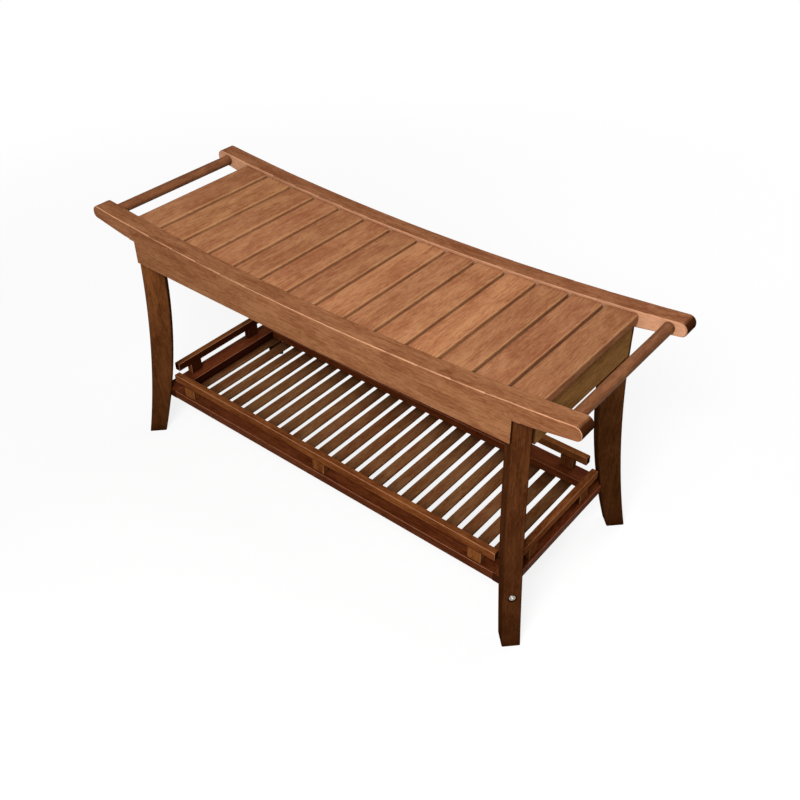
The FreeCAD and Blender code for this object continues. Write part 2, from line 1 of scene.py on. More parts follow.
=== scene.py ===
"""Looks of a slatted spa bench: oiled teak, zinc plated fasteners and a plain studio.

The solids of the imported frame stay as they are. Each sub-assembly below names its boards, says how
their fibres run and gives them a finish. Lengths are in metres unless a name ends in _mm.
"""

import logging
import math
from dataclasses import dataclass
from enum import Enum
from typing import Any, Optional, Sequence

import bpy
from mathutils import Euler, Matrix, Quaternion, Vector


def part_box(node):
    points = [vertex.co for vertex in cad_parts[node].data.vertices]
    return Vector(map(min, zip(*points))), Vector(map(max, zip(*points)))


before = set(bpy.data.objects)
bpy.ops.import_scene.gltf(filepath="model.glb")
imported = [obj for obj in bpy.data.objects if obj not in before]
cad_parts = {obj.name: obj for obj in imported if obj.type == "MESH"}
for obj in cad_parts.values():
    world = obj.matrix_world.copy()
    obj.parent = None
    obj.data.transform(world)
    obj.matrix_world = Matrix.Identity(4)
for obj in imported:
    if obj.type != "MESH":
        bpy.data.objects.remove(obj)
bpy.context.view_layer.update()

LOG = logging.getLogger("spa_bench")
Tree = bpy.types.NodeTree
Socket = bpy.types.NodeSocket
Place = tuple[float, float, float]

MM = 0.001
ENDS = ("left", "right")
SIDES = ("front", "rear")
PHOTO_PIXELS = 800
WHITE = (1.0, 1.0, 1.0, 1.0)

# Sockets of a Mix node that mixes colours. A MapRange node takes its value, the range that this comes
# from and the range that it goes to as inputs 0 to 4.
MIX_SHARE = 0
MIX_UNDER = 6
MIX_OVER = 7
MIX_RESULT = 2

# Steps of the seed from one board to the next, uneven so that no two boards come out alike.
SEED_PER_NUMBER = 1.37
SEED_PER_SIDE = {"X": 0.31, "Y": 0.17, "Z": 0.0}
SEED_PER_CELL = 0.73

# How far a board's random numbers move its patterns, and the pith that lies beside it and leans either way.
PATTERN_SHIFT = (2.7, 1.9, 3.1)
PITH_START = (-0.045, 0.02, 0.0)
PITH_SPREAD = (0.09, 0.03, 0.0)
PITH_LEAN = 0.05                    # slope of the pith, at most
RING_BEND = 0.02                    # metres by which the bends move the rings, at most

# Where the painted marks show: each starts at the first number of a pair and is full at the second. An
# edge, which shows wear and a painted highlight (on the legs a painted shade), is judged by how squarely it
# faces along a side of its board, an inner side, which gets painted light on the rails and painted shade on
# the shelf, by how far its normal points out from the bench's middle, and a corner, which gets painted
# shade, by the share of its surroundings that is open.
EDGE_RANGE = (0.94, 0.8)
INSIDE_RANGE = (-0.7, -0.95)
CORNER_RANGE = (0.8, 0.15)
CORNER_RAYS = 6                     # rays that look for open surroundings
END_TURN = 0.5                      # how much further a face turns until its end grain is darkest
PATCHY_EDGE_LIGHT = (1.1, 0.7)             # strength of the edge colour, wear and painted highlight, on pale and on deep fibres
HUE_RANGE = (0.497, 0.503)          # hue of the boards, where 0.5 leaves the colour as it is
FINE_SHARE = 0.6                    # strength of each finer octave of a noise against the one before
LEVEL = (1.0, 1.0, 0.0)             # keeps the first two axes and drops the third


class Fibres(Enum):
    """Way in which the fibres of a board run: its two axes across them, then the one along them."""

    ALONG_BENCH = ("Y", "Z", "X")
    ACROSS_BENCH = ("X", "Z", "Y")
    UPRIGHT = ("X", "Y", "Z")


@dataclass(frozen=True)
class Lay:
    """How boards of one kind lie on the bench, and what that does to them."""

    fibres: Fibres
    pitch: float = 0.0              # spacing of boards side by side along the bench in one row, or 0
    width: float = 0.0              # width of boards in a row whose gaps get painted shade, or 0
    turn: float = 0.0               # degrees by which the boards' sides are turned about the upright
    painted_light_inside: float = 0.0         # how far painted light brightens the sides that face the seat
    shade_inside: float = 0.0        # how far painted shade darkens the sides that face the shelf


@dataclass(frozen=True)
class Figure:
    """Pattern that is drawn out along the fibres, and how it deepens the wood."""

    width_mm: float                 # width of one streak across the fibres
    stretch: float                  # length of a streak over its width
    octaves: float                  # fineness within a streak
    wander: float                   # how far the streaks wander
    low: float = 0.0                # noise at which the pattern starts to show
    high: float = 1.0               # noise at which it shows in full
    depth: float = 1.0              # how much it then deepens the wood


def linear(colour: str) -> tuple[float, float, float, float]:
    """Turn an sRGB hex value into linear light.

    Args:
        colour: six hex digits with a leading #.
    Returns:
        Linear red, green, blue and an alpha of 1.
    """
    parts = [int(colour[i:i + 2], 16) / 255 for i in (1, 3, 5)]
    light = [c / 12.92 if c <= 0.04045 else ((c + 0.055) / 1.055) ** 2.4 for c in parts]
    return (light[0], light[1], light[2], 1.0)


def add(tree: Tree, kind: str, feeds: Optional[dict] = None, **settings: Any) -> bpy.types.Node:
    """Add one shader node, with its settings, constants and links.

    Args:
        tree: tree that takes the node.
        kind: Blender's type name without its ShaderNode prefix.
        feeds: input name or number, each with a constant or the output socket that feeds it.
        settings: properties of the node.
    Returns:
        The new node.
    """
    node = tree.nodes.new("ShaderNode" + kind)
    for name, value in settings.items():
        setattr(node, name, value)
    for socket, value in (feeds or {}).items():
        if isinstance(value, Socket):
            tree.links.new(value, node.inputs[socket])
        else:
            node.inputs[socket].default_value = value
    return node


def new_material(name: str) -> tuple[bpy.types.Material, Tree]:
    """Make an empty material that uses nodes.

    Args:
        name: name of the material.
    Returns:
        The material and its node tree.
    """
    material = bpy.data.materials.new(name)
    material.use_nodes = True
    material.node_tree.nodes.clear()
    return material, material.node_tree


@dataclass(frozen=True)
class OiledTeak:
    """Teak, planed, sanded and oiled.

    The oil sinks in and leaves a matt face: warm brown, cloudy where the wood took more oil, with faint
    growth rings, fine fibres and short open pores. Edges are paler from wear and a painted highlight, on
    the legs darker from painted shade, and the rails' sides beside the slats carry painted light. End grain
    holds more oil and is darker. Inner corners, the gaps between slats, the shelf's inner sides and the
    lower legs get painted shade. No two boards match.
    """

    name: str
    pale: str                       # wood between the rings
    deep: str                       # late wood of the rings and patches with more oil
    pore_and_shade: str                       # open pores and end grain, and the colour of all painted shade
    edge_wear_and_light_colour: str                     # edges: paler from wear and a painted highlight; on the legs a painted shade
    ring_mm: float = 6.0            # growth rings
    ring_depth: float = 0.14
    bends: Figure = Figure(24.0, 8.0, 2.0, 0.3)                     # bends of the rings
    clouds: Figure = Figure(26.0, 3.0, 2.0, 0.6, 0.34, 0.66, 0.65)  # patches with more oil
    streaks: Figure = Figure(5.0, 14.0, 3.0, 0.3, 0.32, 0.68, 0.4)  # bands of colour along the fibres
    # Real fibres are 0.2 mm wide and real pores 0.3 mm. Both are drawn coarser so that they show.
    fibre: Figure = Figure(2.0, 6.0, 3.0, 0.2, 0.3, 0.7, 0.8)
    pores: Figure = Figure(1.8, 5.0, 1.0, 0.0, 0.62, 0.74, 0.45)
    tone_spread: float = 0.06       # how far one board may lie from the next in lightness
    edge_light_share: float = 0.75         # how much of the edge colour, wear and painted highlight, an edge shows
    shade_corner_mm: float = 26.0         # reach of the painted shade in inner corners
    shade_corner_depth: float = 0.7
    end_depth: float = 0.8          # how much darker end grain is
    end_from: float = 0.4           # how far a face turns towards the fibres' ends before it darkens
    end_mm: float = 26.0            # length of a board's end in which that happens
    gap_shade_mm: float = 6.0           # reach of the painted shade along gaps between boards in a row
    gap_shade_depth: float = 0.16
    shade_to_floor_mm: float = 0.0            # height up to which painted shade darkens the wood towards the floor
    shade_to_floor_depth: float = 0.65
    roughness: float = 0.46
    rough_fall: float = 0.06        # how much smoother the pale fibres are
    rough_rise: float = 0.1         # how much rougher the deep ones are
    specular: float = 0.0           # the oil has sunk in, so next to no gloss is left
    ior: float = 1.5
    bump_mm: float = 0.12
    bump_strength: float = 0.5

    def material(self, label: str, lay: Lay, middle: Vector, reach: float) -> bpy.types.Material:
        """Make the material for boards that lie alike.

        Args:
            label: what the boards are, for the material's name.
            lay: how they lie.
            middle: middle of one of the boards; the others mirror it.
            reach: how far that board goes along its fibres from the bench's middle.
        Returns:
            The new material.
        """
        material, tree = new_material(f"{self.name}_{label}")
        board, draw = self._board_space(tree, lay, middle)
        shift = {0: draw, 1: PATTERN_SHIFT, 2: board}
        apart = add(tree, "VectorMath", shift, operation="MULTIPLY_ADD").outputs[0]
        fibre = self._drawn_out(tree, apart, self.fibre)
        pores = self._drawn_out(tree, apart, self.pores)
        colour = self._colour(tree, board, draw, apart, fibre, pores)
        # Over the fresh wood go darker end grain, the edge colour (wear and painted highlight, on the legs
        # painted shade) and painted shade.
        coats = (
            (self._end_grain(tree, lay, reach), self.pore_and_shade),
            (self._edge_wear_and_light(tree, lay, fibre), self.edge_wear_and_light_colour),
            (self._painted_shade(tree, lay, board), self.pore_and_shade),
        )
        for share, over in coats:
            feeds = {MIX_SHARE: share, MIX_UNDER: colour, MIX_OVER: linear(over)}
            colour = add(tree, "Mix", feeds, data_type="RGBA").outputs[MIX_RESULT]
        smooth = self.roughness - self.rough_fall
        coarse = self.roughness + self.rough_rise
        spread = {0: fibre, 1: self.fibre.low, 2: self.fibre.high, 3: smooth, 4: coarse}
        relief = add(tree, "Math", {0: fibre, 1: pores}, operation="ADD").outputs[0]
        bump = {"Strength": self.bump_strength, "Distance": self.bump_mm * MM, "Height": relief}
        shader = add(tree, "BsdfPrincipled", {
            "Base Color": colour,
            "Roughness": add(tree, "MapRange", spread).outputs[0],
            "Normal": add(tree, "Bump", bump).outputs[0],
            "IOR": self.ior,
            "Specular IOR Level": self.specular,
        })
        add(tree, "OutputMaterial", {"Surface": shader.outputs[0]})
        return material

    def _board_space(self, tree: Tree, lay: Lay, middle: Vector) -> tuple[Socket, Socket]:
        """Set up the space of one board, with its fibres along the third axis.

        Args:
            tree: tree of the material.
            lay: how the boards lie.
            middle: middle of one of the boards.
        Returns:
            Place within the board, and three random numbers for that board.
        """
        place = add(tree, "TexCoord").outputs["Object"]
        axes = add(tree, "SeparateXYZ", {0: place}).outputs
        number = add(tree, "ObjectInfo").outputs["Object Index"]
        lengthwise = lay.fibres.value[2]
        local = {lengthwise: axes[lengthwise]}
        for axis in lay.fibres.value[:2]:
            size = add(tree, "Math", {0: axes[axis]}, operation="ABSOLUTE").outputs[0]
            offset = abs(middle["XYZ".index(axis)])
            local[axis] = add(tree, "Math", {0: size, 1: offset}, operation="SUBTRACT").outputs[0]
        if lay.pitch:
            share = add(tree, "Math", {0: axes["X"], 1: lay.pitch}, operation="DIVIDE").outputs[0]
            cell = add(tree, "Math", {0: share}, operation="FLOOR").outputs[0]
            step = {0: cell, 1: lay.pitch, 2: lay.pitch / 2}
            centre = add(tree, "Math", step, operation="MULTIPLY_ADD").outputs[0]
            local["X"] = add(tree, "Math", {0: axes["X"], 1: centre}, operation="SUBTRACT").outputs[0]
            count = {0: cell, 1: SEED_PER_CELL, 2: number}
        else:
            side = add(tree, "VectorMath", {0: place}, operation="SIGN").outputs[0]
            steps = tuple(0.0 if axis == lengthwise else step for axis, step in SEED_PER_SIDE.items())
            spread = add(tree, "VectorMath", {0: side, 1: steps}, operation="DOT_PRODUCT").outputs["Value"]
            count = {0: number, 1: SEED_PER_NUMBER, 2: spread}
        seed = add(tree, "Math", count, operation="MULTIPLY_ADD").outputs[0]
        draw = add(tree, "TexWhiteNoise", {"W": seed}, noise_dimensions="1D").outputs["Color"]
        across, through, along = (local[axis] for axis in lay.fibres.value)
        board = add(tree, "CombineXYZ", {0: across, 1: through, 2: along}).outputs[0]
        return board, draw

    def _drawn_out(self, tree: Tree, apart: Socket, figure: Figure) -> Socket:
        """Draw a noise that is drawn out along the fibres.

        Args:
            tree: tree of the material.
            apart: place within the board, moved for each board.
            figure: pattern to draw.
        Returns:
            The noise, about 0.5.
        """
        width = figure.width_mm * MM
        scale = (1 / width, 1 / width, 1 / (width * figure.stretch))
        place = add(tree, "VectorMath", {0: apart, 1: scale}, operation="MULTIPLY").outputs[0]
        return add(tree, "TexNoise", {
            "Vector": place,
            "Scale": 1.0,
            "Detail": figure.octaves,
            "Roughness": FINE_SHARE,
            "Distortion": figure.wander,
        }).outputs[0]

    def _rings(self, tree: Tree, board: Socket, draw: Socket, apart: Socket) -> Socket:
        """Draw growth rings about a pith that lies beside the board and leans a little.

        Args:
            tree: tree of the material.
            board: place within the board.
            draw: random numbers for the board.
            apart: the same place, moved so that each board has patterns of its own.
        Returns:
            Depth of the rings, from 0 to 1.
        """
        spot = {0: draw, 1: PITH_SPREAD, 2: PITH_START}
        pith = add(tree, "VectorMath", spot, operation="MULTIPLY_ADD").outputs[0]
        along = add(tree, "SeparateXYZ", {0: board}).outputs["Z"]
        lean = add(tree, "SeparateXYZ", {0: draw}).outputs["Z"]
        slope = add(tree, "MapRange", {0: lean, 3: -PITH_LEAN, 4: PITH_LEAN}).outputs[0]
        rise = add(tree, "Math", {0: along, 1: slope}, operation="MULTIPLY").outputs[0]
        tilt = add(tree, "CombineXYZ", {0: 0.0, 1: rise, 2: 0.0}).outputs[0]
        place = add(tree, "VectorMath", {0: board, 1: pith}, operation="ADD").outputs[0]
        place = add(tree, "VectorMath", {0: place, 1: tilt}, operation="ADD").outputs[0]
        flat = add(tree, "VectorMath", {0: place, 1: LEVEL}, operation="MULTIPLY").outputs[0]
        radius = add(tree, "VectorMath", {0: flat}, operation="LENGTH").outputs["Value"]
        bends = self._drawn_out(tree, apart, self.bends)
        bent = add(tree, "Math", {0: bends, 1: RING_BEND, 2: radius}, operation="MULTIPLY_ADD").outputs[0]
        turns = 2 * math.pi / (self.ring_mm * MM)
        turn = add(tree, "Math", {0: bent, 1: turns}, operation="MULTIPLY").outputs[0]
        wave = add(tree, "Math", {0: turn}, operation="SINE").outputs[0]
        return add(tree, "MapRange", {0: wave, 1: -1.0, 2: 1.0}).outputs[0]

    def _colour(
        self, tree: Tree, board: Socket, draw: Socket, apart: Socket, fibre: Socket, pores: Socket,
    ) -> Socket:
        """Put the colour of fresh wood together from its patterns.

        Args:
            tree: tree of the material.
            board: place within the board.
            draw: random numbers for the board.
            apart: place within the board, moved for each board.
            fibre: noise of the fibres.
            pores: noise that the pores are cut from.
        Returns:
            Colour of the wood.
        """
        rings = self._rings(tree, board, draw, apart)
        clouds = self._drawn_out(tree, apart, self.clouds)
        streaks = self._drawn_out(tree, apart, self.streaks)
        patterns = (
            (rings, 0.0, 1.0, self.ring_depth),
            (clouds, self.clouds.low, self.clouds.high, self.clouds.depth),
            (streaks, self.streaks.low, self.streaks.high, self.streaks.depth),
            (fibre, self.fibre.low, self.fibre.high, self.fibre.depth),
        )
        # Where all the patterns are at their middle, pale and deep wood mix half and half.
        deep: Any = 0.5 - sum(depth for _, _, _, depth in patterns) / 2
        for pattern, low, high, depth in patterns:
            part = add(tree, "MapRange", {0: pattern, 1: low, 2: high, 3: 0.0, 4: depth}).outputs[0]
            deep = add(tree, "Math", {0: part, 1: deep}, operation="ADD").outputs[0]
        cut = {0: pores, 1: self.pores.low, 2: self.pores.high, 3: 0.0, 4: self.pores.depth}
        open_pore = add(tree, "MapRange", cut).outputs[0]
        wood: Any = linear(self.pale)
        for share, over in ((deep, self.deep), (open_pore, self.pore_and_shade)):
            feeds = {MIX_SHARE: share, MIX_UNDER: wood, MIX_OVER: linear(over)}
            wood = add(tree, "Mix", feeds, data_type="RGBA").outputs[MIX_RESULT]
        chance = add(tree, "SeparateXYZ", {0: draw}).outputs
        tones = {0: chance["X"], 3: 1 - self.tone_spread, 4: 1 + self.tone_spread}
        tone = add(tree, "MapRange", tones).outputs[0]
        hue = add(tree, "MapRange", {0: chance["Y"], 3: HUE_RANGE[0], 4: HUE_RANGE[1]}).outputs[0]
        return add(tree, "HueSaturation", {"Hue": hue, "Value": tone, "Color": wood}).outputs[0]

    def _edge_wear_and_light(self, tree: Tree, lay: Lay, fibre: Socket) -> Socket:
        """Find where the edge colour goes: wear and a painted highlight on the eased edges, which face
        between two of the board's sides, and painted light on the inner sides where the lay asks for it.

        Args:
            tree: tree of the material.
            lay: how the boards lie.
            fibre: noise of the fibres, which breaks up the rubbed places.
        Returns:
            Share of the edge colour, which paints wear, highlights and light.
        """
        # Eased edges get wear and a painted highlight; the legs' edges get a painted shade.
        facing = add(tree, "NewGeometry").outputs["Normal"]
        parts = add(tree, "SeparateXYZ", {0: facing}).outputs
        if lay.fibres is Fibres.UPRIGHT:
            turn = {"Vector": facing, "Angle": math.radians(lay.turn)}
            square = add(tree, "VectorRotate", turn, rotation_type="Z_AXIS").outputs[0]
            turned = add(tree, "SeparateXYZ", {0: square}).outputs
            sides = [add(tree, "Math", {0: turned[axis]}, operation="ABSOLUTE").outputs[0] for axis in "XY"]
            side = add(tree, "Math", {0: sides[0], 1: sides[1]}, operation="MAXIMUM").outputs[0]
            rest = add(tree, "Math", {0: parts["Z"]}, operation="ABSOLUTE").outputs[0]
        else:
            across = lay.fibres.value[0]
            side = add(tree, "Math", {0: parts[across]}, operation="ABSOLUTE").outputs[0]
            keep = tuple(float(axis != across) for axis in "XYZ")
            profile = add(tree, "VectorMath", {0: facing, 1: keep}, operation="MULTIPLY").outputs[0]
            rest = add(tree, "VectorMath", {0: profile}, operation="LENGTH").outputs["Value"]
        most = add(tree, "Math", {0: side, 1: rest}, operation="MAXIMUM").outputs[0]
        edges = {0: most, 1: EDGE_RANGE[0], 2: EDGE_RANGE[1], 3: 0.0, 4: self.edge_light_share}
        edge_mark = add(tree, "MapRange", edges).outputs[0]
        # Inner sides that face the seat get painted light in the edge colour.
        if lay.painted_light_inside:
            inside = self._inside(tree, lay.painted_light_inside)
            edge_mark = add(tree, "Math", {0: edge_mark, 1: inside}, operation="MAXIMUM").outputs[0]
        patches = {0: fibre, 1: self.fibre.low, 2: self.fibre.high, 3: PATCHY_EDGE_LIGHT[0], 4: PATCHY_EDGE_LIGHT[1]}
        patchy = add(tree, "MapRange", patches).outputs[0]
        return add(tree, "Math", {0: edge_mark, 1: patchy}, operation="MULTIPLY", use_clamp=True).outputs[0]

    def _inside(self, tree: Tree, share: float) -> Socket:
        """Find the sides that face the middle of the bench.

        Args:
            tree: tree of the material.
            share: value there.
        Returns:
            The share on those sides, else 0.
        """
        place = add(tree, "TexCoord").outputs["Object"]
        side = add(tree, "VectorMath", {0: place}, operation="SIGN").outputs[0]
        side = add(tree, "VectorMath", {0: side, 1: LEVEL}, operation="MULTIPLY").outputs[0]
        facing = add(tree, "NewGeometry").outputs["Normal"]
        outward = add(tree, "VectorMath", {0: facing, 1: side}, operation="DOT_PRODUCT").outputs["Value"]
        inward = {0: outward, 1: INSIDE_RANGE[0], 2: INSIDE_RANGE[1], 3: 0.0, 4: share}
        return add(tree, "MapRange", inward).outputs[0]

    def _end_grain(self, tree: Tree, lay: Lay, reach: float) -> Socket:
        """Find end grain, on faces near a board's ends that turn towards them.

        Args:
            tree: tree of the material.
            lay: how the boards lie.
            reach: how far a board goes along its fibres from the bench's middle.
        Returns:
            Share of the dark colour.
        """
        lengthwise = lay.fibres.value[2]
        facing = add(tree, "NewGeometry").outputs["Normal"]
        parts = add(tree, "SeparateXYZ", {0: facing}).outputs
        turned = add(tree, "Math", {0: parts[lengthwise]}, operation="ABSOLUTE").outputs[0]
        turning = {0: turned, 1: self.end_from, 2: self.end_from + END_TURN, 3: 0.0, 4: self.end_depth}
        ends = add(tree, "MapRange", turning).outputs[0]
        axes = add(tree, "SeparateXYZ", {0: add(tree, "TexCoord").outputs["Object"]}).outputs
        place = add(tree, "Math", {0: axes[lengthwise]}, operation="ABSOLUTE").outputs[0]
        start = reach - self.end_mm * MM
        near = add(tree, "MapRange", {0: place, 1: start, 2: start + self.end_mm * MM / 2}).outputs[0]
        return add(tree, "Math", {0: ends, 1: near}, operation="MULTIPLY").outputs[0]

    def _painted_shade(self, tree: Tree, lay: Lay, board: Socket) -> Socket:
        """Find where shade is painted: in corners, along gaps, on inner sides and towards the floor on the
        legs.

        Args:
            tree: tree of the material.
            lay: how the boards lie.
            board: place within the board.
        Returns:
            Share of the colour that paints the shade.
        """
        # Painted shade in corners, where little of the surroundings is open.
        reach = {"Distance": self.shade_corner_mm * MM}
        openness = add(tree, "AmbientOcclusion", reach, samples=CORNER_RAYS).outputs["AO"]
        corners = {0: openness, 1: CORNER_RANGE[0], 2: CORNER_RANGE[1], 3: 0.0, 4: self.shade_corner_depth}
        shade_share = add(tree, "MapRange", corners).outputs[0]
        # Painted shade along the gaps between boards in a row.
        if lay.width:
            across = add(tree, "SeparateXYZ", {0: board}).outputs["X"]
            across = add(tree, "Math", {0: across}, operation="ABSOLUTE").outputs[0]
            edge = lay.width / 2
            gaps = {0: across, 1: edge - self.gap_shade_mm * MM, 2: edge, 3: 0.0, 4: self.gap_shade_depth}
            gap_shade = add(tree, "MapRange", gaps, interpolation_type="SMOOTHSTEP").outputs[0]
            shade_share = add(tree, "Math", {0: shade_share, 1: gap_shade}, operation="MAXIMUM").outputs[0]
        # Painted shade on the sides that face the shelf's middle.
        if lay.shade_inside:
            inside = self._inside(tree, lay.shade_inside)
            shade_share = add(tree, "Math", {0: shade_share, 1: inside}, operation="MAXIMUM").outputs[0]
        # Painted shade that deepens towards the floor.
        if self.shade_to_floor_mm:
            height = add(tree, "SeparateXYZ", {0: add(tree, "TexCoord").outputs["Object"]}).outputs["Z"]
            fade_below = {0: height, 1: 0.0, 2: self.shade_to_floor_mm * MM, 3: self.shade_to_floor_depth, 4: 0.0}
            shade_below = add(tree, "MapRange", fade_below).outputs[0]
            shade_share = add(tree, "Math", {0: shade_share, 1: shade_below}, operation="ADD", use_clamp=True).outputs[0]
        return shade_share


@dataclass(frozen=True)
class ZincPlatedSteel:
    """Steel, turned or rolled, then zinc plated: a pale cool metal with a faint cloudy bloom."""

    name: str = "zinc_plated_steel"
    bright: str = "#B4B0A8"
    dull: str = "#86827A"
    cloud_mm: float = 3.0           # patches of the bloom
    cloud_octaves: float = 3.0
    cloud_range: tuple[float, float] = (0.3, 0.7)
    rough_range: tuple[float, float] = (0.24, 0.4)
    bump_mm: float = 0.05
    bump_strength: float = 0.2

    def material(self) -> bpy.types.Material:
        """Make the material.

        Returns:
            The new material.
        """
        material, tree = new_material(self.name)
        place = add(tree, "TexCoord").outputs["Object"]
        clouds = add(tree, "TexNoise", {
            "Vector": place,
            "Scale": 1 / (self.cloud_mm * MM),
            "Detail": self.cloud_octaves,
            "Roughness": FINE_SHARE,
        }).outputs[0]
        feeds = {MIX_SHARE: clouds, MIX_UNDER: linear(self.bright), MIX_OVER: linear(self.dull)}
        colour = add(tree, "Mix", feeds, data_type="RGBA").outputs[MIX_RESULT]
        low, high = self.cloud_range
        smooth, coarse = self.rough_range
        rough = add(tree, "MapRange", {0: clouds, 1: low, 2: high, 3: smooth, 4: coarse}).outputs[0]
        bump = {"Strength": self.bump_strength, "Distance": self.bump_mm * MM, "Height": clouds}
        shader = add(tree, "BsdfPrincipled", {
            "Base Color": colour,
            "Metallic": 1.0,
            "Roughness": rough,
            "Normal": add(tree, "Bump", bump).outputs[0],
        })
        add(tree, "OutputMaterial", {"Surface": shader.outputs[0]})
        return material


# Seat slats: sanded flat and oiled often, the palest wood, with its own tone on each slat, painted shade
# along the gaps and in corners, and pale edges that are part wear and part painted highlight.
SEAT_TEAK = OiledTeak(
    "oiled_teak_sanded_seat", "#B07B55", "#8F583A", "#5E381E", "#D0A070",
    tone_spread=0.16, edge_light_share=0.42, shade_corner_mm=12.0, shade_corner_depth=0.15)
# Rails and long aprons: a shade deeper, with dark end grain at the noses, pale edges that are part wear and
# part painted highlight, and painted light on the rails' sides beside the slats.
FRAME_TEAK = OiledTeak(
    "oiled_teak_sanded_frame", "#9D6A48", "#7C4A2E", "#40200E", "#DCA480", end_depth=1.0, end_from=0.12)
# End aprons: a yellower copy of the frame's wood, which paints the olive tone of their shaded sides.
END_TEAK_SHADED = OiledTeak("oiled_teak_end_painted_shade", "#A07042", "#7D542C", "#482812", "#DCA480")
# Handles: turned round, so without edges, and a little polished by hands.
HANDLE_TEAK = OiledTeak(
    "oiled_teak_turned_handle", "#895839", "#694027", "#3C1E0A", "#7A4826", edge_light_share=0.0, specular=0.02)
# Legs: dark wood, with painted shade along their edges and painted shade that deepens towards the floor.
LEG_TEAK = OiledTeak(
    "oiled_teak_sanded_leg", "#6A3F21", "#492711", "#240C02", "#2E1204",
    tone_spread=0.2, edge_light_share=0.5, shade_to_floor_mm=320.0)
# Shelf slats: a dark, dull copy of the seat's wood, which paints the shade of the seat on them.
SHELF_TEAK_SHADED = OiledTeak(
    "oiled_teak_shelf_painted_shade", "#734F32", "#5A3319", "#301406", "#6E462C", edge_light_share=0.0)
# Shelf bars: the reddest and darkest copy of the wood, which paints the shade of the seat and gallery on
# them, with a trace of gloss.
BAR_TEAK_SHADED = OiledTeak(
    "oiled_teak_bars_painted_shade", "#663419", "#471D0A", "#200602", "#9A684C", tone_spread=0.2, specular=0.012)
# Gallery rails and their posts: between the bars and the seat, with pale edges that are part wear and part
# painted highlight, and painted shade on their inner sides.
GALLERY_TEAK = OiledTeak(
    "oiled_teak_sanded_gallery", "#854F27", "#5B2D13", "#280A02", "#AE7C60", tone_spread=0.2)
POST_TEAK = OiledTeak("oiled_teak_sanded_posts", "#7D4A25", "#552A12", "#280A02", "#AE7C60")
# Cleats, blocks, bearers and pins: sawn, hardly oiled and out of sight, so rougher and with no pale edge.
INNER_TEAK = OiledTeak(
    "teak_sawn_inner", "#6E4626", "#4E2E16", "#341C0C", "#6E4626",
    edge_light_share=0.0, roughness=0.6, specular=0.02)
ZINC = ZincPlatedSteel()


@dataclass
class SubAssembly:
    """Group of boards and fasteners that a maker puts together on the bench."""

    next_number: int = 0            # number before that of the first board, which picks the boards' grain

    def dress(self, nodes: Sequence[str], finish: OiledTeak, label: str, lay: Lay) -> None:
        """Give boards that lie alike one wood, each board with a number that picks its own grain.

        Args:
            nodes: CAD nodes of the boards.
            finish: finish that they wear.
            label: what the boards are.
            lay: how they lie.
        """
        low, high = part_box(nodes[0])
        lengthwise = "XYZ".index(lay.fibres.value[2])
        reach = max(abs(low[lengthwise]), abs(high[lengthwise]))
        material = finish.material(label, lay, (low + high) / 2, reach)
        for node in nodes:
            self.next_number += 1
            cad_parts[node].pass_index = self.next_number
            self.coat(node, material)

    def coat(self, node: str, material: bpy.types.Material) -> None:
        """Put a material on every slot of a CAD node.

        Args:
            node: CAD node.
            material: material that it wears.
        """
        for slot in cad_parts[node].material_slots:
            slot.link = "OBJECT"
            slot.material = material
        LOG.info("%s wears %s", node, material.name)


@dataclass
class SeatDeck(SubAssembly):
    """Slats of the seat, and the cleats that they are screwed to."""

    next_number: int = 442

    def build(self) -> None:
        """Dress the slats and their cleats."""
        slats = sorted(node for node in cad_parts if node.startswith("seat_slat_"))
        low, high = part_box(slats[0])
        following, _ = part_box(slats[1])
        slat_lay = Lay(Fibres.ACROSS_BENCH, pitch=following.x - low.x, width=high.x - low.x)
        self.dress(slats, SEAT_TEAK, "slats", slat_lay)
        cleats = [f"{side}_slat_cleat" for side in SIDES]
        self.dress(cleats, INNER_TEAK, "cleats", Lay(Fibres.ALONG_BENCH))


@dataclass
class SeatFrame(SubAssembly):
    """Curved rails, aprons and the round handles between the rails' noses."""

    next_number: int = 40
    painted_light_inside: float = 0.75        # how far painted light brightens the rails' faces beside the slats

    def build(self) -> None:
        """Dress the rails, the aprons, the handles and the pins that join the frames."""
        rail_lay = Lay(Fibres.ALONG_BENCH, painted_light_inside=self.painted_light_inside)
        self.dress([f"{side}_rail" for side in SIDES], FRAME_TEAK, "rails", rail_lay)
        self.dress([f"{side}_apron" for side in SIDES], FRAME_TEAK, "aprons", Lay(Fibres.ALONG_BENCH))
        self.dress([f"{end}_end_apron" for end in ENDS], END_TEAK_SHADED, "end_aprons", Lay(Fibres.ACROSS_BENCH))
        self.dress([f"{end}_handle" for end in ENDS], HANDLE_TEAK, "handles", Lay(Fibres.ACROSS_BENCH))
        pins = ("apron_pins", "end_apron_pins", "shelf_frame_pins")
        self.dress(pins, INNER_TEAK, "pins", Lay(Fibres.UPRIGHT))


@dataclass
class LegSet(SubAssembly):
    """Sabre legs and the blocks that tie them to the seat frame."""

    next_number: int = 348
    leg_turn: float = 45.0          # degrees by which the legs are turned out

    def build(self) -> None:
        """Dress the legs and the blocks."""
        legs = [f"{side}_{end}_leg" for side in SIDES for end in ENDS]
        self.dress(legs, LEG_TEAK, "legs", Lay(Fibres.UPRIGHT, turn=self.leg_turn))
        self.dress(["seat_corner_blocks"], INNER_TEAK, "blocks", Lay(Fibres.ALONG_BENCH))


